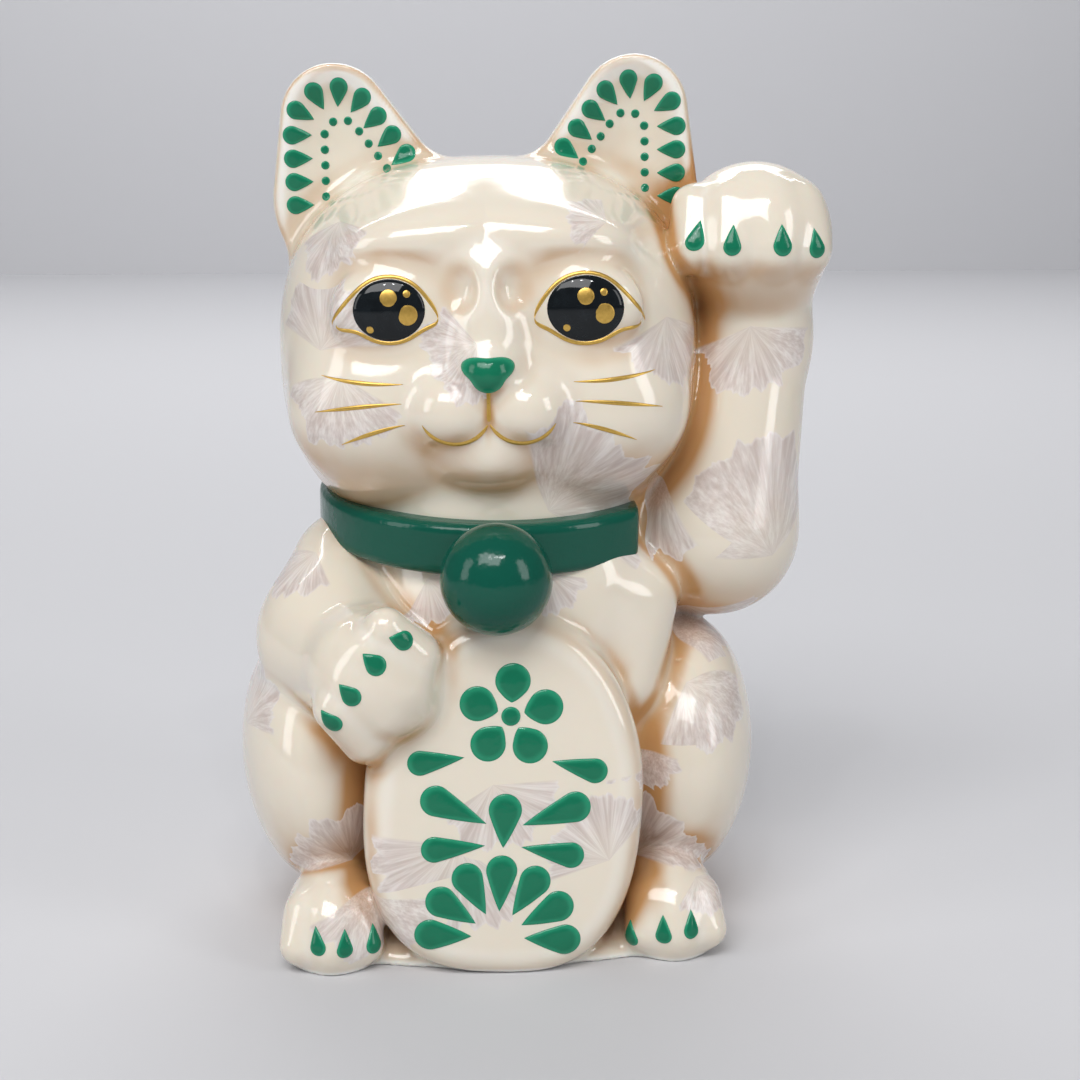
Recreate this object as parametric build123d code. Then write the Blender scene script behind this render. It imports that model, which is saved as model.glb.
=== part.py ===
"""A seated ceramic cat with its left paw raised and its right paw on an oval coin-shaped plaque.

It is built as a pottery builds it: thin cast shells and sprig-moulded pieces luted together face to face,
a separate floor, a collar with a bell, and thin enamel laid on the glazed surface.
Millimetres, +Z up. The origin is the middle of the foot ring, on the table, and the cat faces -Y.
Left and right are the cat's own, so its left side is +X.
"""
from build123d import *
import os
from functools import cache
from math import atan2, cos, degrees, hypot, pi, radians, sin, sqrt

# Driving dimensions
WALL = 4.5  # thickness of a cast wall
RELIEF = 0.5  # how far a coloured enamel stands above the glaze
GOLD = 0.25  # thickness of a gold line
GOLD_WIDTH = 0.7
FLOOR_RECESS = 1.2  # the floor sits this far above the foot ring
DRAIN_RADIUS, DRAIN_Y = 6.0, 12.0
NECK_RADIUS = 34.0
NECK_TOP = 97.0
NECK_FOOT = 70.0  # where the neck starts inside the chest
NECK_HOLE_FOOT = 60.0
REACH = 400.0  # size of a half-space cutter
THROUGH = 12.0  # how far a prism of enamel reaches each way from its drawing plane

# Head axes: the head is turned a little to the cat's right and leans a little
HEAD_CENTRE = (-1.5, 0, 120.5)
HEAD = Pos(*HEAD_CENTRE) * Rot(0, 0, -3.2) * Rot(0, -0.8, 0)
HEAD_RADII = (43.6, 38, 40)
FACE = HEAD * Pos(0, -34, 0)
JAW_CENTRE, JAW_RADII = (0, -3, -16.5), (41.5, 36.5, 21)
MUZZLE_CENTRE, MUZZLE_RADII = (7.0, -35.5, -8.5), (8.8, 7.6, 8)
CHIN_CENTRE, CHIN_RADII = (0, -34, -18), (9, 5.5, 6)

# Ears, in head axes: a rounded cone from root to tip, cut off by the flat inner face
EAR_ROOT, EAR_ROOT_RADIUS = (26.0, 1, 30), 17.5
EAR_TIP, EAR_TIP_RADIUS = (30.3, 1, 47.5), 11.0
EAR_FACE_Y = -2.0
EAR_FACE_LEAN = 6.0  # degrees that the inner face leans back

# The raised paw and the plaque are placed in the cat's own axes
RAISED_PAW_CENTRE, RAISED_PAW_RADII = (52.5, -11, 144), (16.2, 15, 15.5)
LOWERED_PAW_CENTRE, LOWERED_PAW_RADII = (-25, -40.5, 60), (10.5, 10, 13.5)
HAUNCH_REACH = (30.0, 29.0)
PLAQUE = Pos(-0.5, -43, 28) * Rot(-7, -4, 0)
PLAQUE_HALF_WIDTH, PLAQUE_HALF_HEIGHT = 27.5, 44.0
PLAQUE_FRONT, PLAQUE_BACK = -3.5, 12.0  # local y of its faces
PLAQUE_BEVEL = 3.5
COLLAR = Pos(0, 0, 87.3) * Rot(4.8, 0, 0)
COLLAR_EDGE = 1.6  # rounding of its edges
RAISED_CLAW, LOWERED_CLAW, FOOT_CLAW = (5.8, 3.1), (5.2, 3.6), (5.2, 3.0)  # lengths and widths
COLLAR_HEIGHT, COLLAR_THICKNESS = 11.5, 4.6
BELL_CENTRE, BELL_RADIUS = (-2.5, -42, 80), 10.8


# Basic shapes -------------------------------------------------------------------------------------
def ellipsoid(centre, radii, grow=0.0, turn=(0, 0, 0)):
    """An ellipsoid; grow offsets its radii, and turn is its rotation in degrees."""
    rx, ry, rz = (r + grow for r in radii)
    if rx == ry:
        half = Ellipse(rx, rz) & Pos(rx, 0) * Rectangle(2 * rx, 2 * rz)
        solid = revolve(Plane.XZ * half, Axis.Z)
    else:
        solid = scale(Sphere(1), by=(rx, ry, rz))
    return Pos(*centre) * Rot(*turn) * solid


def rounded_cone(start, end, start_radius, end_radius, grow=0.0):
    """Two spheres and the cone that touches both, as one solid of revolution."""
    base = Vector(*start)
    axis = Vector(*end) - base
    length = axis.length
    r0, r1 = start_radius + grow, end_radius + grow
    lean = (r0 - r1) / length
    flat = sqrt(1 - lean * lean)
    tilt = atan2(lean, flat)
    low_mid, high_mid = (tilt - pi / 2) / 2, (tilt + pi / 2) / 2
    foot, shoulder = (r0 * flat, r0 * lean), (r1 * flat, length + r1 * lean)
    low = ThreePointArc((0, -r0), (r0 * cos(low_mid), r0 * sin(low_mid)), foot)
    side = Line(foot, shoulder)
    high = ThreePointArc(
        shoulder, (r1 * cos(high_mid), length + r1 * sin(high_mid)), (0, length + r1)
    )
    closing = Line((0, length + r1), (0, -r0))
    profile = make_face(Curve() + [low, side, high, closing])
    solid = revolve(Plane.XZ * profile, Axis.Z)
    return Plane(origin=base, z_dir=axis) * solid


def half_space_below(z):
    """Everything under the height z."""
    return Pos(0, 0, z - REACH / 2) * Box(REACH, REACH, REACH)


def mirror_x(point, side):
    """The point on the cat's left for side 1, and on its right for side -1."""
    return (side * point[0], point[1], point[2])


# Cast shells --------------------------------------------------------------------------------------
@cache
def torso(grow=0.0):
    belly = ellipsoid((0, 3, 34), (42, 42, 50), grow)
    chest = ellipsoid((1, -5, 64), (34, 34, 24), grow)
    neck = Pos(0, 0, NECK_FOOT) * Cylinder(
        NECK_RADIUS + grow, NECK_TOP - NECK_FOOT, align=(Align.CENTER, Align.CENTER, Align.MIN)
    )
    return belly + chest + neck


@cache
def head(grow=0.0):
    """The outside of the head, with its muzzle and chin."""
    shape = ellipsoid((0, 0, 0), HEAD_RADII, grow) + ellipsoid(JAW_CENTRE, JAW_RADII, grow)
    for side in (-1, 1):
        shape += ellipsoid(mirror_x(MUZZLE_CENTRE, side), MUZZLE_RADII, grow)
    return HEAD * (shape + ellipsoid(CHIN_CENTRE, CHIN_RADII, grow))


def head_hollow():
    hollow = ellipsoid((0, 0, 0), HEAD_RADII, -WALL) + ellipsoid(JAW_CENTRE, JAW_RADII, -WALL)
    return HEAD * hollow


def ear(side):
    """A D-shaped ear, rounded behind and flat in front."""
    root = rounded_cone(
        mirror_x(EAR_ROOT, side), mirror_x(EAR_TIP, side), EAR_ROOT_RADIUS, EAR_TIP_RADIUS
    )
    in_front = Pos(0, -REACH / 2, 0) * Box(REACH, REACH, REACH)
    return HEAD * (root - ear_face_place(side) * in_front)


def ear_face_place(side):
    """Axes on the ear's inner face: origin beside the tip's centre, local -Y outwards, +Z up the ear."""
    return Pos(side * EAR_TIP[0], EAR_FACE_Y, EAR_TIP[2]) * Rot(-EAR_FACE_LEAN, 0, 0)


def raised_paw(grow=0.0):
    return ellipsoid(RAISED_PAW_CENTRE, RAISED_PAW_RADII, grow)


@cache
def raised_arm(grow=0.0):
    forearm = rounded_cone((46, -3, 81.5), (54, -4, 122), 16.8, 12, grow)
    shoulder = rounded_cone((38, -4, 82), (46, -2, 80), 14, 16, grow)
    wrist = rounded_cone((54, -4, 122), (53.5, -7, 138), 12, 12, grow)
    return forearm + shoulder + wrist + raised_paw(grow)


def lowered_paw(grow=0.0):
    return ellipsoid(LOWERED_PAW_CENTRE, LOWERED_PAW_RADII, grow, (0, -40, 0))


@cache
def lowered_arm(grow=0.0):
    upper = rounded_cone((-30, -6, 72), (-34, -14, 62), 14.5, 15.5, grow)
    fore = rounded_cone((-33.5, -20, 61), (-27, -38, 59), 14.5, 12, grow)
    return upper + fore + lowered_paw(grow)


def haunch(side, grow=0.0):
    centre, radius = ((38.5, -6, 34), 16.5) if side > 0 else ((-38, -7, 35), 17.5)
    seam_turn = 90 - 90 * side  # keeps the surface's seam on the outside
    return ellipsoid(centre, (radius, *HAUNCH_REACH), grow, (0, side * 5, seam_turn))


def foot(side, grow=0.0):
    centre, radii = ((34, -32, 6), (10.5, 14.5, 14)) if side > 0 else ((-36, -33, 6), (11, 15, 13.5))
    return ellipsoid(centre, radii, grow)


def plaque():
    """The oval plaque: a thick elliptical plate with a wide bevel round its front."""
    oval = Ellipse(PLAQUE_HALF_WIDTH, PLAQUE_HALF_HEIGHT)
    plate = extrude(Plane.XZ * oval, amount=-(PLAQUE_BACK - PLAQUE_FRONT))
    front_edge = plate.edges().sort_by(Axis.Y)[0]
    return PLAQUE * Pos(0, PLAQUE_FRONT, 0) * fillet(front_edge, PLAQUE_BEVEL)


def tail():
    root = rounded_cone((4, 40, 12), (15, 45, 17), 8.5, 8)
    return root + rounded_cone((15, 45, 17), (19, 44, 29), 8, 7)


def collar_ring():
    outer = Cylinder(NECK_RADIUS + COLLAR_THICKNESS, COLLAR_HEIGHT)
    return COLLAR * fillet(outer.edges(), COLLAR_EDGE)


# Enamel -------------------------------------------------------------------------------------------
def drop(length, width):
    """A teardrop outline: its round end at the origin, its point up +Y."""
    r = width / 2
    tip = length - r
    lean = r / tip
    flat = sqrt(1 - lean * lean)
    right, left = (r * flat, r * lean), (-r * flat, r * lean)
    edges = [Line((0, tip), right), ThreePointArc(right, (0, -r), left), Line(left, (0, tip))]
    return make_face(Curve() + edges)


def stroke(start, end, width):
    """A brush line, thickest in the middle and pointed at both ends."""
    (x0, y0), (x1, y1) = start, end
    length = hypot(x1 - x0, y1 - y0)
    across = Rot(0, 0, degrees(atan2(y1 - y0, x1 - x0)))
    edges = [
        ThreePointArc((-length / 2, 0), (0, width / 2), (length / 2, 0)),
        ThreePointArc((length / 2, 0), (0, -width / 2), (-length / 2, 0)),
    ]
    return Pos((x0 + x1) / 2, (y0 + y1) / 2) * across * make_face(Curve() + edges)


def facing(outline, place):
    """A prism of the outline, drawn in X and Z as seen from the front, through a host at place."""
    return place * extrude(Plane.XZ * outline, amount=THROUGH, both=True)


def layer(host, prism, low, high):
    """The enamel between two offsets of its host's surface, inside the prism."""
    return (host(high) & prism) - host(low)


def solids_of(shapes):
    """All the solids of several shapes in one compound."""
    return Compound([s for shape in shapes for s in shape.solids()])


def laid_on(host, outlines, place, low, high):
    """Enamel of several separate outlines on one host."""
    prisms = solids_of([facing(outline, place) for outline in outlines])
    return layer(host, prisms, low, high)


BLOSSOM_Z, SPRAY_Z, FAN_Z = 24.0, 1.5, -20.0  # heights of the plaque's three motifs on its axis

# Faces of the eyes, in head axes: x and z of the pupil's centre, and its half sizes
EYES = {-1: ((-18.7, 11.2), (6.9, 5.9)), 1: ((18.9, 11.0), (7.4, 6.3))}
LID_REACH = (11.6, 9.6)  # how far the corners lie from the pupil's centre, outside and inside
CATCHLIGHTS = (((0.1, 2.3), 1.5), ((3.5, -0.9), 1.9), ((3.4, 3.0), 0.75), ((-3.6, -3.5), 0.75))
WHISKERS = (((16.5, -2.8), (32.5, -1.4)), ((16.8, -6.6), (33.5, -8.5)), ((16.3, -10.7), (28.5, -14.6)))
WHISKER_WIDTH = 0.9
NOSE_CENTRE_Z, NOSE_RADIUS, NOSE_CORNER, NOSE_RELIEF = 0.4, 6.2, 1.9, 1.2
MOUTH_CENTRE, MOUTH_RADIUS = (6.5, -7.0), 7.1
MOUTH_STEM = (-3.6, -10.2)  # its top and bottom


def almond(side, grow=0.0):
    """The outline of the opening between the lids."""
    (x, z), (half_width, half_height) = EYES[side]
    outer, inner = side * (LID_REACH[0] + grow), -side * (LID_REACH[1] + grow)
    a, b = (x + outer, z - 2.0), (x + inner, z - 1.2)
    top, low = (x, z + half_height + 0.4 + grow), (x, z - half_height - 0.4 - grow)
    return make_face(Curve() + [ThreePointArc(a, top, b), ThreePointArc(b, low, a)])


def eye_pupil(side):
    (x, z), (half_width, half_height) = EYES[side]
    disc = Pos(x, z) * Ellipse(half_width, half_height)
    return layer(head, facing(disc, FACE), 0, RELIEF)


def eye_outline(side):
    ring = almond(side, GOLD_WIDTH) - almond(side)
    (x, z), (half_width, half_height) = EYES[side]
    ring -= Pos(x, z) * Ellipse(half_width, half_height)
    return layer(head, facing(ring, FACE), 0, GOLD)


def eye_catchlights(side):
    (x, z), _ = EYES[side]
    dots = [Pos(x + dx, z + dz) * Circle(radius) for (dx, dz), radius in CATCHLIGHTS]
    return laid_on(head, dots, FACE, RELIEF, RELIEF + GOLD)


def whiskers():
    lines = []
    for side in (-1, 1):
        for (x0, z0), (x1, z1) in WHISKERS:
            lines.append(stroke((side * x0, z0), (side * x1, z1), WHISKER_WIDTH))
    return laid_on(head, lines, FACE, 0, GOLD)


def mouth_line():
    """A short stem under the nose and two curves, one under each half of the muzzle."""
    half = GOLD_WIDTH / 2
    top, bottom = MOUTH_STEM
    shape = Pos(0, (top + bottom) / 2) * Rectangle(GOLD_WIDTH, top - bottom)
    for side in (-1, 1):
        centre = Pos(side * MOUTH_CENTRE[0], MOUTH_CENTRE[1])
        ring = centre * Circle(MOUTH_RADIUS + half) - centre * Circle(MOUTH_RADIUS - half)
        below_stem = Pos(side * MOUTH_CENTRE[0], bottom - MOUTH_RADIUS) * Rectangle(20, 2 * MOUTH_RADIUS)
        shape += ring & below_stem
    shape -= nose_outline()
    return layer(head, facing(shape, FACE), 0, GOLD)


def nose_outline():
    """A triangle with round corners, its point down."""
    triangle = Pos(0, NOSE_CENTRE_Z) * Rot(0, 0, -90) * RegularPolygon(NOSE_RADIUS, 3)
    return fillet(triangle.vertices(), NOSE_CORNER)


def nose():
    return layer(head, facing(nose_outline(), FACE), 0, NOSE_RELIEF)


# An arch on the ear's inner face: an upright leg by the outer edge, a round top and a sloping leg.
# Each is its centre below the tip's, its radius and the lengths of its outer and inner legs.
PETAL_ARCH = (-2.5, 9.2, 14.6, 13.0)
DOT_ARCH = (-3.8, 3.6, 11.8, 10.6)
ARCH_TURN = 143.0
PETALS, PETAL_LENGTH, PETAL_WIDTH = 11, 5.8, 3.6
DOTS, DOT_RADIUS = 11, 0.85


def arch_points(count, centre_z, radius, outer_leg, inner_leg):
    """Evenly spaced ((x, z), inward direction in degrees) along the arch, for an ear on the cat's right."""
    bend = radius * radians(ARCH_TURN)
    end = radians(180 - ARCH_TURN)
    total = outer_leg + bend + inner_leg
    for i in range(count):
        s = total * i / (count - 1)
        if s < outer_leg:
            yield (-radius, centre_z + s - outer_leg), 0.0
        elif s < outer_leg + bend:
            a = pi - (s - outer_leg) / radius
            yield (radius * cos(a), centre_z + radius * sin(a)), degrees(a) + 180
        else:
            past = s - outer_leg - bend
            x = radius * cos(end) + past * sin(end)
            z = centre_z + radius * sin(end) - past * cos(end)
            yield (x, z), degrees(end) + 180


def ear_petals(side):
    """Petals that point inwards from the ear's rim, and a row of dots at their points."""
    pieces = []
    for (x, z), inward in arch_points(PETALS, *PETAL_ARCH):
        petal = Pos(x, z) * Rot(0, 0, inward - 90) * drop(PETAL_LENGTH, PETAL_WIDTH)
        pieces.append(petal)
    for (x, z), _ in arch_points(DOTS, *DOT_ARCH):
        pieces.append(Pos(x, z) * Circle(DOT_RADIUS))
    place = HEAD * ear_face_place(side)
    laid = []
    for outline in pieces:
        shown = outline if side < 0 else mirror(outline, Plane.YZ)
        laid.append(place * extrude(Plane.XZ * shown, amount=RELIEF))
    return solids_of(laid)


def claws(host, places, length, width):
    """Teardrops on the toes, each at a place on its toe with local -Y outwards."""
    prisms = solids_of([facing(drop(length, width), place) for place in places])
    return layer(host, prisms, 0, RELIEF)


def raised_claw_places():
    x, y, z = RAISED_PAW_CENTRE
    for dx, turn in ((-13.2, -38), (-7.0, -18), (2.8, 10), (10.2, 34)):
        yield Pos(x + dx, y - 11, z - 1.6) * Rot(0, 0, turn)


def lowered_claw_places():
    x, y, z = LOWERED_PAW_CENTRE
    for dx, dz in ((4.0, 8.8), (-0.6, 4.8), (-5.4, -1.2), (-8.0, -7.8)):
        yield Pos(x + dx, y - 8, z + dz) * Rot(0, -48, 0)


def foot_claws(side):
    x, y = (34, -32) if side > 0 else (-36, -33)
    places = [
        Pos(x + dx, y - 11, 6.2) * Rot(0, 0, turn) for dx, turn in ((-5.8, -20), (0.4, 0), (6.2, 20))
    ]
    return claws(lambda grow: foot(side, grow), places, *FOOT_CLAW)


def plaque_ornament():
    """Three flower motifs, one above another: a blossom with two leaves, a spray and a fan of petals."""
    shapes = [(Pos(0, BLOSSOM_Z), Circle(1.8))]
    for i in range(5):
        shapes.append((Pos(0, BLOSSOM_Z) * Rot(0, 0, 72 * i), petal_out(2.6, 7.6, 6.6)))
    for side in (-1, 1):
        shapes.append((Pos(side * 8.6, BLOSSOM_Z - 9.5) * Rot(0, 0, -side * 112), petal_out(0, 11, 5.0)))
        shapes.append((Pos(side * 3.0, SPRAY_Z + 1.5) * Rot(0, 0, -side * 62), petal_out(0, 14, 6.4)))
        shapes.append((Pos(side * 3.0, SPRAY_Z - 3.5) * Rot(0, 0, -side * 106), petal_out(0, 12.5, 5.6)))
    shapes.append((Pos(0, SPRAY_Z - 3.0), petal_out(0, 10.5, 6.4)))
    for turn in range(-90, 91, 30):
        shapes.append((Pos(0, FAN_Z) * Rot(0, 0, turn), petal_out(5.2, 12.5, 6.2)))
    front = PLAQUE * Pos(0, PLAQUE_FRONT, 0)
    drawn = [Plane.XZ * (place * shape) for place, shape in shapes]
    return solids_of([front * extrude(outline, amount=RELIEF) for outline in drawn])


def petal_out(start, length, width):
    """A drop that points back at the centre it grows from, along +Y from start."""
    return Pos(0, start + length - width / 2) * Rot(0, 0, 180) * drop(length, width)


# Assembly -----------------------------------------------------------------------------------------
def build():
    """Each named piece, cut so that neighbours meet face to face."""
    ground = half_space_below(0)
    body, skull, ring = torso(), head(), collar_ring()
    sides = {"right": -1, "left": 1}
    pieces = {}
    for name, side in sides.items():
        pieces[f"{name}_haunch"] = haunch(side) - body - haunch(side, -WALL) - ground

    neck_hole = Pos(0, 0, NECK_HOLE_FOOT) * Cylinder(
        NECK_RADIUS, NECK_TOP - NECK_HOLE_FOOT, align=(Align.CENTER, Align.CENTER, Align.MIN)
    )
    inside = torso(-WALL) + Pos(0, 0, 90) * Cylinder(NECK_RADIUS - WALL, 20)
    slab = Pos(0, 0, FLOOR_RECESS + WALL / 2) * Box(REACH, REACH, WALL)
    drain = Pos(0, DRAIN_Y, 0) * Cylinder(DRAIN_RADIUS, 40)
    pieces["body_shell"] = body - inside - ground
    pieces["base_floor"] = (inside & slab) - drain
    pieces["head_shell"] = skull - head_hollow() - neck_hole
    pieces["collar"] = ring - neck_hole - body - skull
    pieces["tail"] = tail() - body - ground

    board = plaque()
    right_haunch, left_haunch = haunch(-1), haunch(1)
    pieces["plaque"] = board - body - right_haunch - left_haunch - ground
    pieces["raised_arm"] = raised_arm() - raised_arm(-WALL) - body - skull - ring - left_haunch
    pieces["lowered_arm"] = lowered_arm() - body - ring - right_haunch - board
    pieces["bell"] = Pos(*BELL_CENTRE) * Sphere(BELL_RADIUS) - ring - body - skull - board
    for name, side in sides.items():
        pieces[f"{name}_foot"] = foot(side) - haunch(side) - body - board - ground
        pieces[f"{name}_ear"] = ear(side) - skull - raised_arm()
        pieces[f"{name}_eye"] = eye_pupil(side)
        pieces[f"{name}_eye_outline"] = eye_outline(side)
        pieces[f"{name}_eye_catchlights"] = eye_catchlights(side)
        pieces[f"{name}_ear_petals"] = ear_petals(side)
        pieces[f"{name}_foot_claws"] = foot_claws(side)
    pieces["raised_paw_claws"] = claws(raised_arm, raised_claw_places(), *RAISED_CLAW)
    pieces["lowered_paw_claws"] = claws(lowered_arm, lowered_claw_places(), *LOWERED_CLAW)
    pieces["nose"] = nose()
    pieces["whiskers"] = whiskers()
    pieces["mouth_line"] = mouth_line()
    pieces["plaque_ornament"] = plaque_ornament()
    return pieces


os.makedirs("parts", exist_ok=True)
for node, shape in build().items():
    export_step(shape, f"parts/{node}.step")
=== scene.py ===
"""Looks of the ceramic cat: one soft glazed surface over the clay pieces, with raised enamel and gold on it.

The clay is described once, as signed distances in millimetres that are blended where the wet pieces were
luted together. Every clay piece is then a closed mesh cut from that one surface, so neighbours meet with no
seam. Enamel is laid on the same surface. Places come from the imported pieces' boxes.
"""
import math

import bpy
import numpy as np
import openvdb
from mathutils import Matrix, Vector


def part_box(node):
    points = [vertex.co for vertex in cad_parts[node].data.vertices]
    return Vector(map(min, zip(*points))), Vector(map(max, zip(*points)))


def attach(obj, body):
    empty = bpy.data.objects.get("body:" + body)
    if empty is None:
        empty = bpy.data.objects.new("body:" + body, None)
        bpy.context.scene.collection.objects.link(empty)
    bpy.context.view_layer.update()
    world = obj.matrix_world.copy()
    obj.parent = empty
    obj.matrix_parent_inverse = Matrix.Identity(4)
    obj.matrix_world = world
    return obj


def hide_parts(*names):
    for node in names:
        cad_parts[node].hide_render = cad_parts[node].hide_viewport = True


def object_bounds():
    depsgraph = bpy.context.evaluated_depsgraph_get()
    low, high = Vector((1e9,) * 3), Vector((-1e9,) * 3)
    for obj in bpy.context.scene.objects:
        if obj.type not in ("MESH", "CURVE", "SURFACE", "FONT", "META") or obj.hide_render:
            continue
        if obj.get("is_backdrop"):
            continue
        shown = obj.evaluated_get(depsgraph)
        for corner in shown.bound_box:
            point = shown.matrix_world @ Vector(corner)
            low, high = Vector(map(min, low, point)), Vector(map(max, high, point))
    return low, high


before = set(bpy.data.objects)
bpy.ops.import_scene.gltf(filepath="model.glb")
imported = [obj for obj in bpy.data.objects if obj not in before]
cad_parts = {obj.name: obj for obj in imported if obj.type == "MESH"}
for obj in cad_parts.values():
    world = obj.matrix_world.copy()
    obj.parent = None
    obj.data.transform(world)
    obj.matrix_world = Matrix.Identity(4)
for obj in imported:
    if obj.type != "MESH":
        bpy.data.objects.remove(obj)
CAD_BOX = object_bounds()

MM = 0.001
VOXEL = 0.6  # mesh step, mm
BLOCK = 6  # voxels along a sampling block
OVERLAP = 2.0  # how far a piece runs on under its neighbour, mm
DIVE = 0.12  # how fast it dives there
SINK = 0.35  # how deep enamel is bedded in the glaze, mm

BOXES = {node: [np.array(corner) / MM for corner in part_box(node)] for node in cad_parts}


def mid(node, dx=0.0, dy=0.0, dz=0.0):
    """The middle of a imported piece's box, moved by an offset, in mm."""
    low, high = BOXES[node]
    return (low + high) / 2 + (dx, dy, dz)


# Signed distances ---------------------------------------------------------------------------------
def turned(yaw=0.0, pitch=0.0, roll=0.0):
    """Columns are local axes: roll about Y, then pitch about X, then yaw about Z, in degrees."""
    a, b, c = np.radians((yaw, pitch, roll))
    about_z = np.array([[np.cos(a), -np.sin(a), 0], [np.sin(a), np.cos(a), 0], [0, 0, 1]])
    about_x = np.array([[1, 0, 0], [0, np.cos(b), -np.sin(b)], [0, np.sin(b), np.cos(b)]])
    about_y = np.array([[np.cos(c), 0, np.sin(c)], [0, 1, 0], [-np.sin(c), 0, np.cos(c)]])
    return about_z @ about_x @ about_y


def length(v):
    return np.sqrt(np.einsum("ij,ij->i", v, v))


def egg(p, centre, radii, axes=None, power=2.0):
    """An ellipsoid, or with a larger power a boxier one."""
    q = p - centre
    if axes is not None:
        q = q @ axes
    if power == 2:
        u = q / radii
        size = length(u)
        return size * (size - 1) / np.maximum(length(u / radii), 1e-9)
    u = np.abs(q / radii)
    size = (u**power).sum(-1) ** (1 / power)
    slope = np.linalg.norm(u ** (power - 1) / radii, axis=-1) * np.maximum(size, 1e-6) ** (1 - power)
    return (size - 1) / np.maximum(slope, 1e-6)


def limb(p, start, end, start_radius, end_radius):
    """Two balls and the cone that touches both."""
    start, end = np.asarray(start, float), np.asarray(end, float)
    axis = end - start
    span = np.sqrt(axis @ axis)
    lean = (start_radius - end_radius) / span
    q = p - start
    along = q @ (axis / span)
    out = np.sqrt(np.maximum(np.einsum("ij,ij->i", q, q) - along * along, 0))
    cone = np.clip(along - out * lean / math.sqrt(1 - lean * lean), 0, span)
    return np.hypot(out, along - cone) - start_radius + cone * lean


def blend(a, b, k):
    """Union with a soft fillet of about k mm."""
    h = np.maximum(k - np.abs(a - b), 0) / k
    return np.minimum(a, b) - h * h * k * 0.25


def carve(a, b, k):
    """Intersection with a soft edge."""
    return -blend(-a, -b, k)


# The cat's clay -----------------------------------------------------------------------------------
HEAD_AXES = turned(yaw=-3.2, roll=-0.8)
HEAD_RADII = np.array((43.6, 38.0, 40.0))
HEAD_CENTRE = BOXES["head_shell"][1] - HEAD_RADII
PLAQUE_AXES = turned(pitch=-7, roll=4)
PLAQUE_CENTRE = mid("plaque", -1.0, -4.2, -8.0)
PLAQUE_MIDDLE = 8.0  # where it is widest, up from its centre
PLAQUE_HALF_WIDTH, PLAQUE_HALF_HEIGHT = 28.0, 36.6
PLAQUE_FACE = -3.0  # local y of the plaque's front face
LEFT, RIGHT = 1, -1
SIDES = {"left": LEFT, "right": RIGHT}


def torso(p):
    belly = egg(p, mid("body_shell", 0, 0, -14.5), (42, 42, 50))
    chest = egg(p, mid("body_shell", 1, -9, 15.5), (35, 33, 24))
    neck = limb(p, mid("body_shell", 0, -3, 25.5), mid("body_shell", 0, -3, 47.5), 33.5, 33.5)
    plinth = egg(p, mid("body_shell", 0, -9, -49), (44.5, 38, 6.5), power=3)
    shape = blend(blend(belly, chest, 8), neck, 5)
    breast = egg(p, mid("body_shell", 15, -26, 26), (13.5, 10.5, 13))
    fold = limb(p, mid("body_shell", 27, -23, 22), mid("body_shell", 24, -28, 6), 9.5, 8)
    shape = blend(blend(shape, breast, 5), fold, 5)
    return blend(shape, plinth, 6)


def head(p):
    q = (p - HEAD_CENTRE) @ HEAD_AXES
    m = q.copy()
    m[:, 0] = np.abs(q[:, 0])
    skull = egg(m, np.zeros(3), HEAD_RADII, power=2.45)
    brow = egg(m, (11, -26.0, 24.5), (17, 9.5, 5.5), turned(roll=6))
    socket = egg(m, (18.8, -41.5, 11), (13.5, 7.2, 9.5))
    cheek = egg(m, (24, -24, -10), (15, 13, 13))
    bridge = limb(m, (0, -31.5, 16), (0, -35.5, 3), 6.0, 5.0)
    dent = egg(m, (5.2, -38.6, 15.5), (2.6, 3.0, 3.8))
    shape = blend(skull, brow, 6)
    shape = blend(shape, cheek, 8)
    shape = -blend(-shape, socket, 6)
    lid = egg(m, (18.9, -32.6, 11.1), (11.2, 4.6, 7.9))
    shape = blend(shape, lid, 3.5)
    shape = blend(shape, bridge, 5)
    shape = -blend(-shape, dent, 3)
    muzzle = egg(m, (6.9, -35.5, -8.4), (8.7, 7.7, 7.4))
    chin = egg(m, (0, -33.6, -17.2), (9, 6.4, 6.2))
    nose = egg(m, (0, -37.6, -0.8), (5.6, 6.0, 4.6))
    shape = blend(shape, muzzle, 3.6)
    shape = blend(shape, chin, 4.5)
    return blend(shape, nose, 3.5)


def ear_plane(q):
    """How far in front of the ear's inner face, in head axes."""
    return -(q[:, 1] + 3.0 + 0.15 * (q[:, 2] - 30))


def ear(p, side):
    q = (p - HEAD_CENTRE) @ HEAD_AXES
    m = q * (side, 1, 1)
    rise = 1.0 if side == LEFT else 0.0
    deep = np.stack((m[:, 0], np.maximum(m[:, 1], 2.0), m[:, 2]), -1)
    lobe = limb(deep, (26.3, 2, 31), (30.5, 2, 47.5 + rise), 17.8, 11.2)
    dish = egg(m, (29.5, -8.2, 43), (9.5, 6.0, 14.5))
    shape = carve(lobe, ear_plane(m), 2.2)
    return -blend(-shape, dish, 3)


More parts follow.
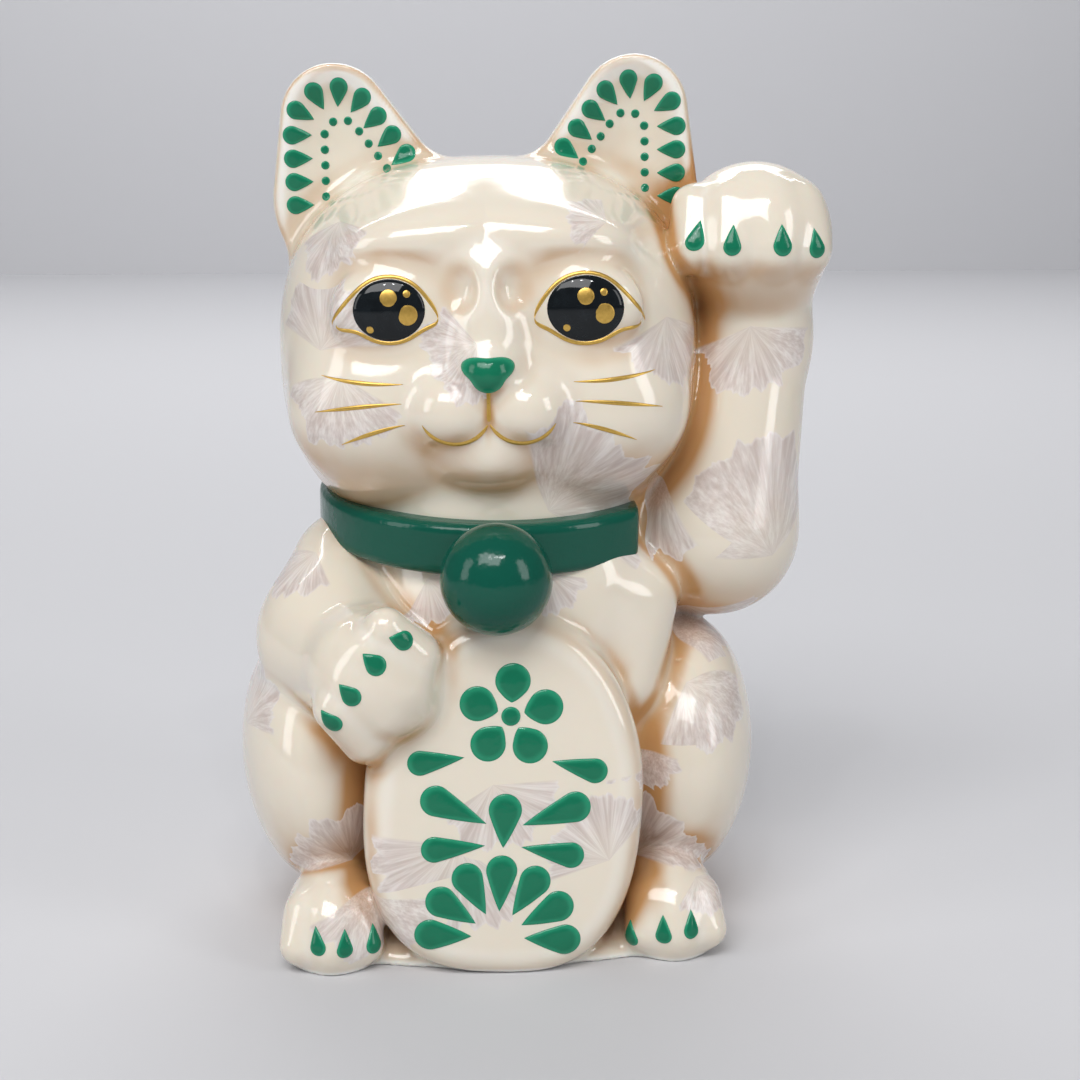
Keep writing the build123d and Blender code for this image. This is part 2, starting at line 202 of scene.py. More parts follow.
def raised_arm(p):
    shoulder = limb(p, mid("raised_arm", -11.5, 2, -29.8), mid("raised_arm", -3.5, 1, -30.8), 14, 16)
    forearm = limb(p, mid("raised_arm", -3.5, -3.2, -28.8), mid("raised_arm", 4.5, 2, 10.2), 16.8, 12)
    wrist = limb(p, mid("raised_arm", 4.5, 2, 10.2), mid("raised_arm", 4.5, -1, 26), 12, 12.4)
    paw = egg(p, mid("raised_arm", 3.0, -5, 32.2), (16.2, 14.6, 15.3))
    shape = blend(blend(blend(shoulder, forearm, 8), wrist, 4), paw, 3.5)
    for x, depth in ((-11.0, 2.8), (-4.0, 0), (5.2, -0.6), (12.4, 2.6)):
        knuckle = mid("raised_arm", x * 0.92, -11.5 + depth, 38.5)
        tip = mid("raised_arm", x, -15.2 + depth, 30.0)
        shape = blend(shape, limb(p, knuckle, tip, 4.6, 5.0), 2.6)
    return shape


def lowered_arm(p):
    upper = limb(p, mid("lowered_arm", 1.5, 15.1, 7.6), mid("lowered_arm", -2.5, 7.1, -2.4), 14.5, 15.5)
    fore = limb(p, mid("lowered_arm", -2.0, 1.1, -3.4), mid("lowered_arm", 3.5, -14.9, -5.4), 14.5, 12.5)
    paw = egg(p, mid("lowered_arm", 6.5, -18.9, -5.4), (10.6, 10.4, 13.4), turned(roll=-40))
    shape = blend(blend(upper, fore, 10), paw, 5)
    for step in range(4):
        along = 1 - step / 1.5
        place = mid("lowered_arm", 8.2 + 5.0 * along, -23.6 + 1.4 * along * along, -8.4 + 8.6 * along)
        heel = mid("lowered_arm", 2.5 + 5.0 * along, -24.5, -2.0 + 8.0 * along)
        shape = blend(shape, limb(p, heel, place, 4.2, 4.8), 3)
    return shape


def haunch(p, side):
    name, radius = ("left_haunch", 16.5) if side == LEFT else ("right_haunch", 17.5)
    inward = -3.2 * side
    return egg(p, mid(name, inward, 0, 0), (radius, 30, 29), turned(roll=5 * side))


def foot(p, side):
    name = "left_foot" if side == LEFT else "right_foot"
    shape = egg(p, mid(name, -0.4 * side, 0, -3.8), (10.4, 14.2, 13.2))
    for x in (-6.4, 0.0, 6.4):
        toe = limb(p, mid(name, x * 0.9, -6.0, 1.5), mid(name, x, -10.4 + 0.03 * x * x, -4.4), 3.6, 4.0)
        shape = blend(shape, toe, 2.6)
    return shape


def plaque(p):
    q = (p - PLAQUE_CENTRE) @ PLAQUE_AXES
    flat = q[:, (0, 2)] - (0, PLAQUE_MIDDLE)
    u = np.abs(flat) / (PLAQUE_HALF_WIDTH, PLAQUE_HALF_HEIGHT)
    fullness = np.where(flat[:, 1] < 0, 2.7, 2.0)
    size = np.maximum(u[:, 0] ** fullness + u[:, 1] ** fullness, 1e-6) ** (1 / fullness)
    rim = length(flat) * (1 - 1 / size)
    thickness = 12.0
    slab = np.abs(q[:, 1] - PLAQUE_FACE - thickness / 2) - thickness / 2
    return carve(rim, slab, 6)


def collar(p):
    q = (p - mid("collar")) @ turned(pitch=4.8)
    radius = np.hypot(q[:, 0], q[:, 1])
    ring = carve(np.abs(radius - 33.6) - 4.3, np.abs(q[:, 2]) - 5.4, 2.2)
    behind_arm = np.maximum(27.5 - q[:, 0], q[:, 1] - 12)
    return carve(ring, -behind_arm, 0.8)


def bell(p):
    return egg(p, mid("bell", 0, 0.6, 0), (11, 10.4, 11))


def tail(p):
    root, bend, tip = mid("tail", -6.8, -4.7, -7.8), mid("tail", 4.2, 0.3, -2.8), mid("tail", 8.2, -0.7, 9.2)
    return blend(limb(p, root, bend, 8.5, 8), limb(p, bend, tip, 8, 7), 3)


CLAY = {
    "body_shell": torso,
    "head_shell": head,
    "left_ear": lambda p: ear(p, LEFT),
    "right_ear": lambda p: ear(p, RIGHT),
    "raised_arm": raised_arm,
    "lowered_arm": lowered_arm,
    "left_haunch": lambda p: haunch(p, LEFT),
    "right_haunch": lambda p: haunch(p, RIGHT),
    "left_foot": lambda p: foot(p, LEFT),
    "right_foot": lambda p: foot(p, RIGHT),
    "plaque": plaque,
    "tail": tail,
    "collar": collar,
    "bell": bell,
}


TRIM = {"collar", "bell"}  # laid on the finished surface, with an edge of their own


def whole(parts):
    """The finished white surface: its clay pieces blended where they were luted."""
    f = parts["body_shell"]
    for name, fillet in (
        ("left_haunch", 4), ("right_haunch", 4), ("plaque", 2.2), ("raised_arm", 3.5),
        ("lowered_arm", 3), ("left_foot", 2.6), ("right_foot", 2.6), ("tail", 4),
    ):
        f = blend(f, parts[name], fillet)
    top_part = blend(blend(parts["head_shell"], parts["left_ear"], 4.5), parts["right_ear"], 4.5)
    return blend(f, top_part, 1.8)


def neighbours(name, reach=12.0):
    """The pieces of the white clay whose boxes come near one piece's box."""
    low, high = BOXES[name]
    found = set()
    for other in CLAY.keys() - TRIM:
        other_low, other_high = BOXES[other]
        if np.all(other_low < high + reach) and np.all(other_high > low - reach):
            found.add(other)
    return found


def distances(p, near):
    """Distance to each clay piece, with those that aren't near left far away."""
    far = np.full(len(p), 1000.0)
    return {name: shape(p) if name in near else far for name, shape in CLAY.items()}


def skin_near(name):
    """Distance to the finished surface, for points on or about one piece."""
    near = neighbours(name)
    return lambda p: whole(distances(p, near))


def hollow(p):
    """The inside of the cast torso, which is open at its foot."""
    room = egg(p, mid("body_shell", 0, 0, -14.5), (37.5, 37.5, 45.5))
    opening = np.hypot(p[:, 0] - mid("base_floor")[0], p[:, 1] - mid("base_floor")[1]) - 29.4
    return np.where(p[:, 2] < 12, np.maximum(room, opening), room)


def piece_field(name):
    """Distance to one clay piece as it is cut from the whole, or to a piece of trim as it is."""
    if name in TRIM:
        return CLAY[name]
    near = neighbours(name)

    def field(p):
        parts = distances(p, near)
        own = parts[name]
        nearest_other = np.min([parts[key] for key in near if key != name], axis=0)
        past = own - nearest_other
        f = whole(parts) + DIVE * np.maximum(past, 0) ** 2
        f = np.maximum(np.maximum(f, past - OVERLAP), -p[:, 2])
        if name == "body_shell":
            f = np.maximum(f, -hollow(p))
        return f

    return field


# Meshes -------------------------------------------------------------------------------------------
def sample(field, low, high, step):
    """The field on a regular grid, worked out only in the blocks near its surface."""
    blocks = np.ceil((high - low) / (step * BLOCK)).astype(int)
    size = step * BLOCK
    index = np.stack(np.meshgrid(*[np.arange(n) for n in blocks], indexing="ij"), -1).reshape(-1, 3)
    rough = field(low + (index + 0.5) * size)
    values = np.empty(blocks * BLOCK, np.float32)
    cells = values.reshape(blocks[0], BLOCK, blocks[1], BLOCK, blocks[2], BLOCK)
    offsets = np.stack(np.meshgrid(*[np.arange(BLOCK)] * 3, indexing="ij"), -1).reshape(-1, 3) * step
    near = np.abs(rough) < size
    for (i, j, k), value in zip(index[~near], rough[~near]):
        cells[i, :, j, :, k, :] = value
    wanted = index[near]
    batch = 400
    for first in range(0, len(wanted), batch):
        some = wanted[first : first + batch]
        points = (low + some * size)[:, None, :] + offsets
        found = field(points.reshape(-1, 3)).reshape(len(some), BLOCK, BLOCK, BLOCK)
        for (i, j, k), block in zip(some, found):
            cells[i, :, j, :, k, :] = block
    return values


def gradient(field, p, h=0.12):
    """Unit direction of steepest increase."""
    g = np.empty_like(p)
    for axis in range(3):
        step = np.zeros(3)
        step[axis] = h
        g[:, axis] = field(p + step) - field(p - step)
    return g / np.maximum(np.linalg.norm(g, axis=1, keepdims=True), 1e-9)


def new_mesh(name, points_mm, faces):
    mesh = bpy.data.meshes.new(name)
    mesh.from_pydata((np.asarray(points_mm) * MM).tolist(), [], faces)
    mesh.update()
    mesh.polygons.foreach_set("use_smooth", [True] * len(mesh.polygons))
    obj = bpy.data.objects.new(name, mesh)
    bpy.context.scene.collection.objects.link(obj)
    return obj


def store(obj, name, values):
    attribute = obj.data.attributes.new(name, "FLOAT", "POINT")
    attribute.data.foreach_set("value", np.asarray(values, np.float32))


def form_of(p, skin):
    """How hollow and how ridged the finished surface is at points on it, each from 0 to 1."""
    reach = 2.6
    n = gradient(skin, p, 0.3)
    creased = 1 - skin(p + n * reach) / reach
    ridged = 1 + skin(p - n * reach) / reach
    wide = 7.0
    broad = 1 - skin(p + n * wide) / wide
    ridged *= np.clip(1 - 3 * creased, 0, 1)
    return np.clip(0.55 * creased + 0.6 * broad, 0, 1), np.clip(ridged * 1.6, 0, 1)


def clay_piece(name):
    """One clay piece as a closed mesh, with what the glaze needs to know about its form."""
    margin = 6.0
    low, high = BOXES[name][0] - margin, BOXES[name][1] + margin
    low[2] = max(low[2], -2 * VOXEL)
    field = piece_field(name)
    values = sample(field, low, high, VOXEL)
    grid = openvdb.FloatGrid(5.0)
    grid.copyFromArray(values)
    points, quads = grid.convertToQuads(0.0)
    points = low + points.astype(float) * VOXEL
    for _ in range(2):
        near = gradient(field, points)
        points -= near * np.clip(field(points), -0.3, 0.3)[:, None]
    points[:, 2] = np.maximum(points[:, 2], 0)
    obj = new_mesh(f"{name}_glazed", points, quads[:, ::-1].tolist())
    hollow_here, ridge_here = form_of(points, skin_near(name))
    store(obj, "pool", hollow_here)
    store(obj, "ridge", ridge_here)
    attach(obj, "root")
    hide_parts(name)
    return obj


# Enamel and gold ----------------------------------------------------------------------------------
RINGS = (0.0, 0.3, 0.55, 0.75, 0.88, 0.96, 1.0)  # how far out from the middle of a patch
INNERMOST = 0.02  # the share of its outline that a patch's first ring keeps, so that it stays open
STAND_OFF = 16.0  # how far in front of a place the lines towards the surface start, mm
STRIDES = 60
STRIDE = 0.9  # the share of the distance to the surface that each stride covers
ACROSS = np.sin(np.linspace(-math.pi / 2, math.pi / 2, 9))  # places across a stroke, closer at its edges
RELIEF = 0.5  # how far each enamel stands above the glaze, mm
PETAL_RELIEF, DOT_RELIEF, CLAW_RELIEF, ORNAMENT_RELIEF, NOSE_RELIEF = 0.4, 0.3, 0.42, 0.45, 0.8
GOLD_RELIEF, CATCHLIGHT_RELIEF = 0.22, 0.12
OUTLINE_WIDTH, MOUTH_WIDTH, WHISKER_WIDTH = 0.75, 0.8, 0.85
PATCH_DEPTH = 4.5  # the furthest that a patch may wrap round behind its middle, mm


def drop(length, width, turn=0.0, at=(0.0, 0.0)):
    """A teardrop: round end at the start, its point up, then turned anticlockwise and moved."""
    r = width / 2
    lean = math.asin(r / (length - r))
    angles = np.linspace(math.pi - lean, 2 * math.pi + lean, 34)
    round_end = np.stack((r * np.cos(angles), r * np.sin(angles)), -1)
    tip_ways = np.linspace(0, 1, 12)[1:-1, None]
    tip = np.array((0.0, (length - r) * 0.93))
    bend = np.array((round_end[-1] * 0.5 + (0, (length - r) * 0.56)))
    up = (1 - tip_ways) ** 2 * round_end[-1] + 2 * tip_ways * (1 - tip_ways) * bend + tip_ways**2 * tip
    down = up[::-1] * (-1, 1)
    shape = np.concatenate((round_end, up, [tip], down))
    return placed(shape, turn, at)


def placed(outline, turn, at):
    c, s = math.cos(math.radians(turn)), math.sin(math.radians(turn))
    return outline @ np.array(((c, s), (-s, c))) + np.array(at)


def oval(half_width, half_height, at=(0.0, 0.0)):
    angles = np.linspace(0, 2 * math.pi, 49)[:-1]
    return np.stack((half_width * np.cos(angles), half_height * np.sin(angles)), -1) + np.array(at)


def nose_outline():
    """A wide triangle with round corners and its point down."""
    angles = np.linspace(0, 2 * math.pi, 61)[:-1]
    swell = 1 + 0.17 * np.cos(3 * (angles + math.pi / 2))
    return np.stack((4.75 * swell * np.cos(angles), 3.35 * swell * np.sin(angles) - 0.35), -1)


def onto(skin, origin, axes, uv):
    """Where lines through uv on a place's front plane, along its axis, meet the finished surface."""
    inward = axes[:, 1]
    start = origin + uv[:, :1] * axes[:, 0] + uv[:, 1:] * axes[:, 2] - STAND_OFF * inward
    travel = np.zeros(len(uv))
    for _ in range(STRIDES):
        travel += STRIDE * skin(start + travel[:, None] * inward)
    return start + travel[:, None] * inward


def dome(s):
    return np.sqrt(np.maximum(1 - s**2.6, 0))


def closed_sheet(upper, lower, rows, columns, wrap):
    """Faces of two grids of points joined round their rims: rows * columns points, upper ones first."""
    faces = []
    total = rows * columns
    last = columns if wrap else columns - 1
    for i in range(rows - 1):
        for j in range(last):
            a, b = i * columns + j, i * columns + (j + 1) % columns
            c, d = b + columns, a + columns
            faces.append((a, b, c, d))
            faces.append((a + total, d + total, c + total, b + total))
    rim = [(rows - 1) * columns + j for j in range(columns)]
    if not wrap:
        rim = list(range(columns)) + [i * columns + columns - 1 for i in range(1, rows)]
        rim += [(rows - 1) * columns + j for j in range(columns - 2, -1, -1)]
        rim += [i * columns for i in range(rows - 2, 0, -1)]
        rim = rim[::-1]
    for a, b in zip(rim, rim[1:] + rim[:1]):
        faces.append((b, a, a + total, b + total))
    return np.concatenate((upper, lower)), faces


def patch(skin, origin, axes, outline, relief, lift=0.0):
    """A domed patch of enamel, bedded in the surface: points, faces and how thin it is at each point."""
    middle = outline.mean(0)
    count = len(outline)
    uv = [middle + max(s, INNERMOST) * (outline - middle) for s in RINGS]
    surface = onto(skin, origin, axes, np.concatenate(uv))
    depth = (surface - origin) @ axes[:, 1]
    too_deep = np.maximum(depth - np.median(depth) - PATCH_DEPTH, 0)
    surface -= too_deep[:, None] * axes[:, 1]
    out = gradient(skin, surface, 0.2)
    s = np.repeat(RINGS, count)
    upper = surface + out * (lift + relief * dome(s))[:, None]
    lower = surface + out * (lift - SINK)
    points, faces = closed_sheet(upper, lower, len(RINGS), count, wrap=True)
    faces.append(tuple(reversed(range(count))))
    faces.append(tuple(range(len(s), len(s) + count)))
    return points, faces, np.concatenate((s, s))


def stroke(skin, origin, axes, line, width, relief, taper=0.35):
    """A brush line along points, thinned towards both ends over a share of its length."""
    line = np.asarray(line, float)
    along = np.gradient(line, axis=0)
    along /= np.maximum(np.linalg.norm(along, axis=1, keepdims=True), 1e-9)
    side = np.stack((along[:, 1], -along[:, 0]), -1)
    t = np.linspace(0, 1, len(line))
    end = np.clip(np.minimum(t, 1 - t) / taper, 0, 1)
    half = width / 2 * (0.12 + 0.88 * np.sin(end * math.pi / 2))
    uv = line[:, None, :] + side[:, None, :] * (half[:, None] * ACROSS)[:, :, None]
    surface = onto(skin, origin, axes, uv.reshape(-1, 2))
    out = gradient(skin, surface, 0.2)
    height = np.sqrt(np.maximum(1 - ACROSS**2, 0))
    height = (height[None, :] * (0.3 + 0.7 * end[:, None])).reshape(-1)
    upper = surface + out * (relief * height)[:, None]
    lower = surface - out * SINK
    points, faces = closed_sheet(upper, lower, len(line), len(ACROSS), wrap=False)
    return points, faces, np.tile(1 - height, 2)


def enamel(node, layers, material):
    """One node's enamel as one object of closed patches."""
    points, faces, thin = [], [], []
    for some_points, some_faces, some_thin in layers:
        first = sum(len(group) for group in points)
        points.append(some_points)
        faces += [tuple(first + i for i in face) for face in some_faces]
        thin.append(some_thin)
    obj = new_mesh(f"{node}_enamel", np.concatenate(points), faces)
    store(obj, "thin", np.concatenate(thin))
    obj.data.materials.append(material)
    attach(obj, "root")
    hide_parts(node)
    return obj


# Each arch on an ear's inner face: centre x and z, radius, lengths of the outer and inner legs
PETAL_ARCH = (30.5, 45.2, 7.9, 14.8, 12.4)
DOT_ARCH = (29.3, 43.9, 3.6, 11.8, 10.6)
ARCH_TURN = math.radians(143)
PER_ARCH = 11
PETAL_LENGTH, PETAL_WIDTH, DOT_RADIUS = 6.1, 3.7, 0.86
PETAL_SHIFT = 0.9  # how far a petal's round end lies outside its arch


def arch(centre_x, centre_z, radius, outer_leg, inner_leg):
    """Evenly spaced places up the outer edge, over the top and down the inner edge, and the way inwards."""
    end = math.pi - ARCH_TURN
    total = outer_leg + radius * ARCH_TURN + inner_leg
    for s in np.linspace(0, total, PER_ARCH):
        angle = min(max((s - outer_leg) / radius, 0), ARCH_TURN)
        past = max(s - outer_leg - radius * ARCH_TURN, 0)
        before = max(outer_leg - s, 0)
        x = centre_x + radius * math.cos(angle) - past * math.sin(end)
        z = centre_z + radius * math.sin(angle) - before - past * math.cos(end)
        yield (x, z), math.degrees(angle) + 180


def ear_skin(side):
    """An ear with the head but without the raised paw, which its petals would otherwise land on."""
    return lambda p: blend(head(p), ear(p, side), 4.5)


def ear_layers(side):
    skin = ear_skin(side)
    rise = 0.8 if side == LEFT else 0.0
    layers = []
    for (x, z), inward in arch(*PETAL_ARCH):
        away = math.radians(inward)
        start = (x - PETAL_SHIFT * math.cos(away), z - PETAL_SHIFT * math.sin(away) + rise)
        shape = drop(PETAL_LENGTH, PETAL_WIDTH, inward - 90, start) * (side, 1)
        layers.append(patch(skin, HEAD_CENTRE, HEAD_AXES, shape[::side], PETAL_RELIEF))
    for (x, z), _ in arch(*DOT_ARCH):
        shape = oval(DOT_RADIUS, DOT_RADIUS, (x * side, z + rise))
        layers.append(patch(skin, HEAD_CENTRE, HEAD_AXES, shape, DOT_RELIEF))
    return layers


# In head axes: x and z of each pupil's middle, and its half sizes
EYE_PLACES = {LEFT: ((18.9, 11.0), (7.4, 6.3)), RIGHT: ((-18.7, 11.2), (6.9, 5.9))}
# From the pupil's middle: x, z and radius
CATCHLIGHTS = ((0.0, 2.3, 1.6), (3.4, 3.0, 0.72), (3.5, -0.9, 1.9), (-3.6, -3.5, 0.72))


def eye_layers(side):
    at, (half_width, half_height) = EYE_PLACES[side]
    skin = skin_near("head_shell")
    return [patch(skin, HEAD_CENTRE, HEAD_AXES, oval(half_width, half_height, at), RELIEF)]


def catchlight_layers(side):
    at, half = EYE_PLACES[side]
    skin = skin_near("head_shell")
    layers = []
    for dx, dz, radius in CATCHLIGHTS:
        out_there = math.hypot(dx / half[0], dz / half[1])
        lift = RELIEF * float(dome(np.array(out_there))) - 0.04
        shape = oval(radius, radius, (at[0] + dx, at[1] + dz))
        layers.append(patch(skin, HEAD_CENTRE, HEAD_AXES, shape, CATCHLIGHT_RELIEF, lift))
    return layers


def curve_through(points, count=40):
    """A smooth line through a few points."""
    points = np.asarray(points, float)
    knots = np.concatenate(([0], np.cumsum(np.linalg.norm(np.diff(points, axis=0), axis=1))))
    order = min(len(points) - 1, 3)
    at = np.linspace(0, knots[-1], count)
    return np.stack([np.polyval(np.polyfit(knots, points[:, i], order), at) for i in (0, 1)], -1)


def eye_outline_layers(side):
    """A gold line round the opening of the lids, drawn out to a point at each corner."""
    (x, z), (half_width, half_height) = EYE_PLACES[side]
    skin = skin_near("head_shell")
    angles = np.radians(np.linspace(0, 180, 40))
    layers = []
    for up in (1, -1):
        across = side * np.cos(angles) * (half_width + 0.5)
        upwards = up * np.sin(angles) * (half_height + 0.45)
        ring = np.stack((across, upwards), -1)
        pull = np.abs(np.cos(angles)) ** 9
        outer = side * (3.9 if up == 1 else 3.0)
        inner = -side * 1.9
        ring[:, 0] += pull * np.where(side * ring[:, 0] > 0, outer, inner)
        ring[:, 1] += pull * np.where(side * ring[:, 0] > 0, -2.9, -1.7)
        layers.append(stroke(skin, HEAD_CENTRE, HEAD_AXES, ring + (x, z), OUTLINE_WIDTH, GOLD_RELIEF, 0.12))
    return layers


# Each whisker: its inner end, its outer end and how far its middle bends up
WHISKERS = (
    ((16.4, -2.9), (32.4, -1.4), -0.5),
    ((16.7, -6.6), (33.8, -8.4), 0.3),
    ((16.2, -10.7), (28.6, -14.6), 0.4),
)


def whisker_layers():
    skin = skin_near("head_shell")
    layers = []
    for side in (LEFT, RIGHT):
        for inner, outer, rise in WHISKERS:
            middle = ((inner[0] + outer[0]) / 2, (inner[1] + outer[1]) / 2 + rise)
            line = curve_through([inner, middle, outer]) * (side, 1)
            layers.append(stroke(skin, HEAD_CENTRE, HEAD_AXES, line, WHISKER_WIDTH, GOLD_RELIEF, 0.5))
    return layers


MOUTH_CENTRE, MOUTH_RADIUS = (6.45, -7.0), 7.2  # of the curve under the left half of the muzzle
MOUTH_STEM = (-3.4, -10.4)  # its top and bottom


def mouth_layers():
    skin = skin_near("head_shell")
    angles = np.radians(np.linspace(206, 332, 44))
    layers = []
    for side in (LEFT, RIGHT):
        x = side * (MOUTH_CENTRE[0] + MOUTH_RADIUS * np.cos(angles))
        line = np.stack((x, MOUTH_CENTRE[1] + MOUTH_RADIUS * np.sin(angles)), -1)
        layers.append(stroke(skin, HEAD_CENTRE, HEAD_AXES, line, MOUTH_WIDTH, GOLD_RELIEF, 0.2))
    stem = np.stack((np.zeros(16), np.linspace(*MOUTH_STEM, 16)), -1)
    layers.append(stroke(skin, HEAD_CENTRE, HEAD_AXES, stem, OUTLINE_WIDTH, GOLD_RELIEF, 0.15))
    return layers


def claw_layers(host, places):
    """Drops on the toes: each is its place from the middle of its host, yaw, turn, length and width."""
    skin = skin_near(host)
    layers = []
    for offset, yaw, turn, long, wide in places:
        shape = placed(drop(long, wide) - (0, long / 2 - wide / 2), turn, (0, 0))
        layers.append(patch(skin, mid(host, *offset), turned(yaw=yaw), shape, CLAW_RELIEF))
    return layers


CLAWS = {
    "raised_paw_claws": ("raised_arm", (
        ((-9.2, -14.1, 33.2), -32, -4, 6.3, 3.6),
        ((-3.6, -18.4, 32.4), -18, 0, 6.4, 3.5),
        ((5.8, -19.8, 32.4), 6, 0, 6.6, 3.9),
        ((13.0, -16.9, 31.7), 32, 4, 6.3, 3.6),
    )),
    "lowered_paw_claws": ("lowered_arm", (
        ((9.6, -24.0, 4.6), 10, 72, 5.2, 3.8),
        ((5.0, -28.5, 0.6), 0, 48, 5.6, 4.0),
        ((0.4, -28.6, -5.4), -14, 46, 5.6, 3.9),
        ((-1.2, -24.2, -10.8), -30, 40, 5.4, 3.6),
    )),
    "right_foot_claws": ("right_foot", (
        ((-2.7, -13.8, -1.6), -14, 12, 6.0, 3.3),
        ((2.8, -13.9, -2.2), 0, 0, 6.0, 3.2),
        ((9.2, -13.8, -2.3), 20, -6, 6.0, 3.4),
    )),
    "left_foot_claws": ("left_foot", (
        ((-8.6, -8.5, -4.0), -20, 6, 5.6, 3.2),
        ((-3.3, -13.3, -2.2), 0, 0, 6.0, 3.2),
        ((2.2, -13.2, -1.3), 18, -8, 6.0, 3.3),
    )),
}


def out_from(start, length, width, turn, at):
    """A drop that points back at the place it grows from."""
    shape = drop(length, width, 180) + np.array((0, start + length - width / 2))
    return placed(shape, turn, at)


def ornament_layers():
    """A blossom with two leaves, a spray of leaves and a fan of petals, painted down the plaque."""
    blossom, spray, fan = 24.5, 1.5, -20.0
    shapes = [oval(1.9, 1.9, (0, blossom))]
    for i in range(5):
        shapes.append(out_from(2.4, 8.2, 7.0, 72 * i, (0, blossom)))
    for side in (LEFT, RIGHT):
        shapes.append(out_from(0, 12.0, 5.0, -100 * side, (8.0 * side, blossom - 8.5)))
        shapes.append(out_from(0, 15.0, 6.2, -68 * side, (2.8 * side, spray + 1.0)))
        shapes.append(out_from(0, 13.5, 5.2, -97 * side, (2.8 * side, spray - 3.0)))
    shapes.append(out_from(0, 11.5, 6.6, 0, (0, spray - 4.0)))
    for turn in range(-90, 91, 30):
        shapes.append(out_from(4.6, 12.0, 6.2, turn, (0, fan)))
    skin = skin_near("plaque")
    return [patch(skin, PLAQUE_CENTRE, PLAQUE_AXES, shape, ORNAMENT_RELIEF) for shape in shapes]


# Materials ----------------------------------------------------------------------------------------
IVORY, CARAMEL, CREAM = (0.79, 0.715, 0.595), (0.56, 0.31, 0.13), (0.89, 0.86, 0.80)
CRYSTAL, CRYSTAL_EDGE = (0.53, 0.435, 0.405), (0.85, 0.80, 0.77)


class Nodes:
    """A small helper to write a material's node tree in order."""

    def __init__(self, name):
        self.material = bpy.data.materials.new(name)
        self.material.use_nodes = True
        self.tree = self.material.node_tree
        self.shader = self.tree.nodes["Principled BSDF"]

    def add(self, kind, inputs=None, **settings):
        node = self.tree.nodes.new(kind)
        for key, value in settings.items():
            setattr(node, key, value)
        for key, value in (inputs or {}).items():
            self.set(node.inputs[key], value)
        return node

    def set(self, socket, value):
        if isinstance(value, bpy.types.NodeSocket):
            self.tree.links.new(value, socket)
        elif isinstance(value, tuple) and len(value) == 3 and socket.type == "RGBA":
            socket.default_value = (*value, 1.0)
        else:
            socket.default_value = value

    def math(self, operation, a, b=0.0):
        return self.add("ShaderNodeMath", {0: a, 1: b}, operation=operation).outputs[0]

    def vector(self, operation, a, b=(0.0, 0.0, 0.0)):
        node = self.add("ShaderNodeVectorMath", {0: a, 1: b}, operation=operation)
        return node.outputs["Value" if operation in ("LENGTH", "DOT_PRODUCT") else "Vector"]

    def scaled(self, a, factor):
        node = self.add("ShaderNodeVectorMath", {0: a}, operation="SCALE")
        self.set(node.inputs["Scale"], factor)
        return node.outputs["Vector"]

    def step(self, value, low, high):
        """0 below low and 1 above high, smooth between."""
        settings = {"Value": value, "From Min": low, "From Max": high}
        node = self.add("ShaderNodeMapRange", settings, interpolation_type="SMOOTHSTEP")
        return node.outputs["Result"]

    def noise(self, vector, scale, detail=2.0, roughness=0.5):
        inputs = {"Vector": vector, "Scale": scale, "Detail": detail, "Roughness": roughness}
        return self.add("ShaderNodeTexNoise", inputs).outputs["Fac"]

    def mix(self, factor, a, b, kind="RGBA"):
        node = self.add("ShaderNodeMix", data_type=kind)
        first, second = {"RGBA": (6, 7), "VECTOR": (4, 5), "FLOAT": (2, 3)}[kind]
        self.set(node.inputs[0], factor)
        self.set(node.inputs[first], a)
        self.set(node.inputs[second], b)
        return node.outputs[{"RGBA": 2, "VECTOR": 1, "FLOAT": 0}[kind]]

    def attribute(self, name):
        return self.add("ShaderNodeAttribute", attribute_name=name).outputs["Fac"]

    def place_mm(self):
        """Where a point is on the object, in mm."""
        coords = self.add("ShaderNodeTexCoord").outputs["Object"]
        return self.scaled(coords, 1 / MM)

    def look(self, **values):
        for name, value in values.items():
            self.set(self.shader.inputs[name.replace("_", " ")], value)


